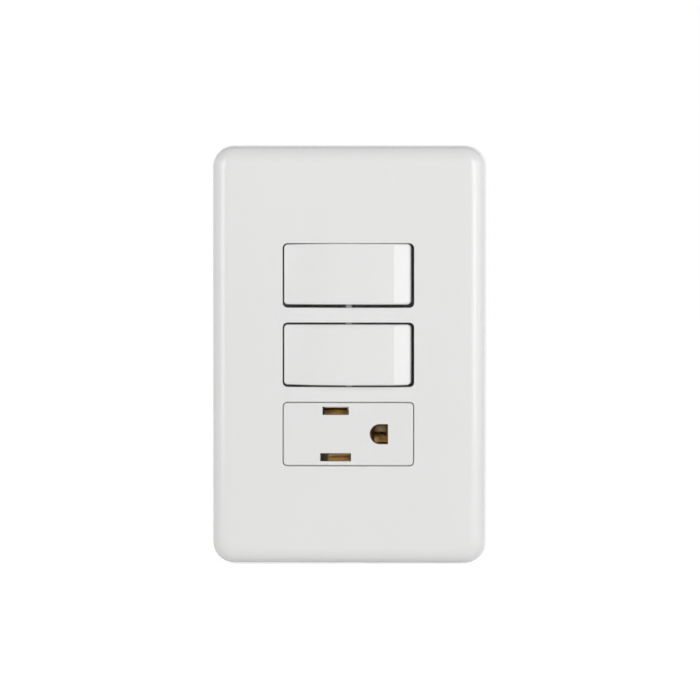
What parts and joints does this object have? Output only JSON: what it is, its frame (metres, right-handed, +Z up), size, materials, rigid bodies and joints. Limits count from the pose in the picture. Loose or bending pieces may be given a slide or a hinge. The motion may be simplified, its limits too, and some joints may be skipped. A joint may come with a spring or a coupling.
{
  "type": "switch and socket combination",
  "caption": "Portrait screwless wall plate with rocker switches above an earthed flat-pin socket, in snap-in modules on a steel mounting frame.",
  "frame": {"origin": "middle of the plate on the wall plane", "axes": "+Y into the wall, +Z up along the plate's long side, +X to the right as one looks at the plate"},
  "size_m": [0.075, 0.0322, 0.1146],
  "materials": {
    "plate_white": "smooth gloss",
    "rocker_white": "smooth gloss",
    "module_white": "semi gloss",
    "base_grey": "fine moulded texture",
    "carrier_white": "moulded",
    "galvanised_steel": "zinc plated",
    "screw_steel": "zinc plated",
    "earth_green": "green passivated",
    "contact_brass": "bare strip",
    "spring_steel": "bright wire",
    "plunger_black": "moulded"
  },
  "bodies": {
    "wall_unit": {"cover_plate": "plate_white", "plate_carrier": "carrier_white", "mounting_frame": "galvanised_steel", "box_screw_upper": "screw_steel", "carrier_screw_upper": "screw_steel", "box_screw_lower": "screw_steel", "carrier_screw_lower": "screw_steel", "upper_switch_cover": "module_white", "upper_switch_base": "base_grey", "upper_common_terminal": "contact_brass", "upper_switched_terminal": "contact_brass", "upper_common_screw": "screw_steel", "upper_switched_screw": "screw_steel", "middle_switch_cover": "module_white", "middle_switch_base": "base_grey", "middle_common_terminal": "contact_brass", "middle_switched_terminal": "contact_brass", "middle_common_screw": "screw_steel", "middle_switched_screw": "screw_steel", "socket_face": "module_white", "socket_base": "base_grey", "live_contact": "contact_brass", "live_screw": "screw_steel", "neutral_contact": "contact_brass", "neutral_screw": "screw_steel", "earth_contact": "contact_brass", "earth_screw": "earth_green"},
    "upper_rocker_unit": {"upper_rocker": "rocker_white", "upper_plunger_spring": "spring_steel"},
    "upper_plunger_unit": {"upper_plunger": "plunger_black"},
    "upper_lever_unit": {"upper_contact_lever": "contact_brass"},
    "middle_rocker_unit": {"middle_rocker": "rocker_white", "middle_plunger_spring": "spring_steel"},
    "middle_plunger_unit": {"middle_plunger": "plunger_black"},
    "middle_lever_unit": {"middle_contact_lever": "contact_brass"}
  },
  "joints": [
    {"name": "upper_rocker_hinge", "type": "hinge", "parent": "wall_unit", "child": "upper_rocker_unit", "pos_m": [0, -0.0044, 0.0217], "axis": [0, 0, 1], "range_deg": [0, 8]},
    {"name": "upper_lever_hinge", "type": "hinge", "parent": "wall_unit", "child": "upper_lever_unit", "pos_m": [0, 0.0109, 0.0217], "axis": [0, 0, 1], "range_deg": [-14, 0]},
    {"name": "upper_plunger_slide", "type": "slide", "parent": "upper_rocker_unit", "child": "upper_plunger_unit", "axis": [-0.0698, -0.9976, 0], "range_m": [0, 0.0008], "stiffness_N_per_m": 250, "springref_m": -0.0012, "deforming": ["upper_plunger_spring"]},
    {"name": "middle_rocker_hinge", "type": "hinge", "parent": "wall_unit", "child": "middle_rocker_unit", "pos_m": [0, -0.0044, 0], "axis": [0, 0, 1], "range_deg": [0, 8]},
    {"name": "middle_lever_hinge", "type": "hinge", "parent": "wall_unit", "child": "middle_lever_unit", "pos_m": [0, 0.0109, 0], "axis": [0, 0, 1], "range_deg": [-14, 0]},
    {"name": "middle_plunger_slide", "type": "slide", "parent": "middle_rocker_unit", "child": "middle_plunger_unit", "axis": [-0.0698, -0.9976, 0], "range_m": [0, 0.0008], "stiffness_N_per_m": 250, "springref_m": -0.0012, "deforming": ["middle_plunger_spring"]}
  ],
  "couplings": [
    {"joint": "upper_lever_hinge", "follows": "upper_rocker_hinge", "ratio": -1.75},
    {"joint": "middle_lever_hinge", "follows": "middle_rocker_hinge", "ratio": -1.75}
  ]
}
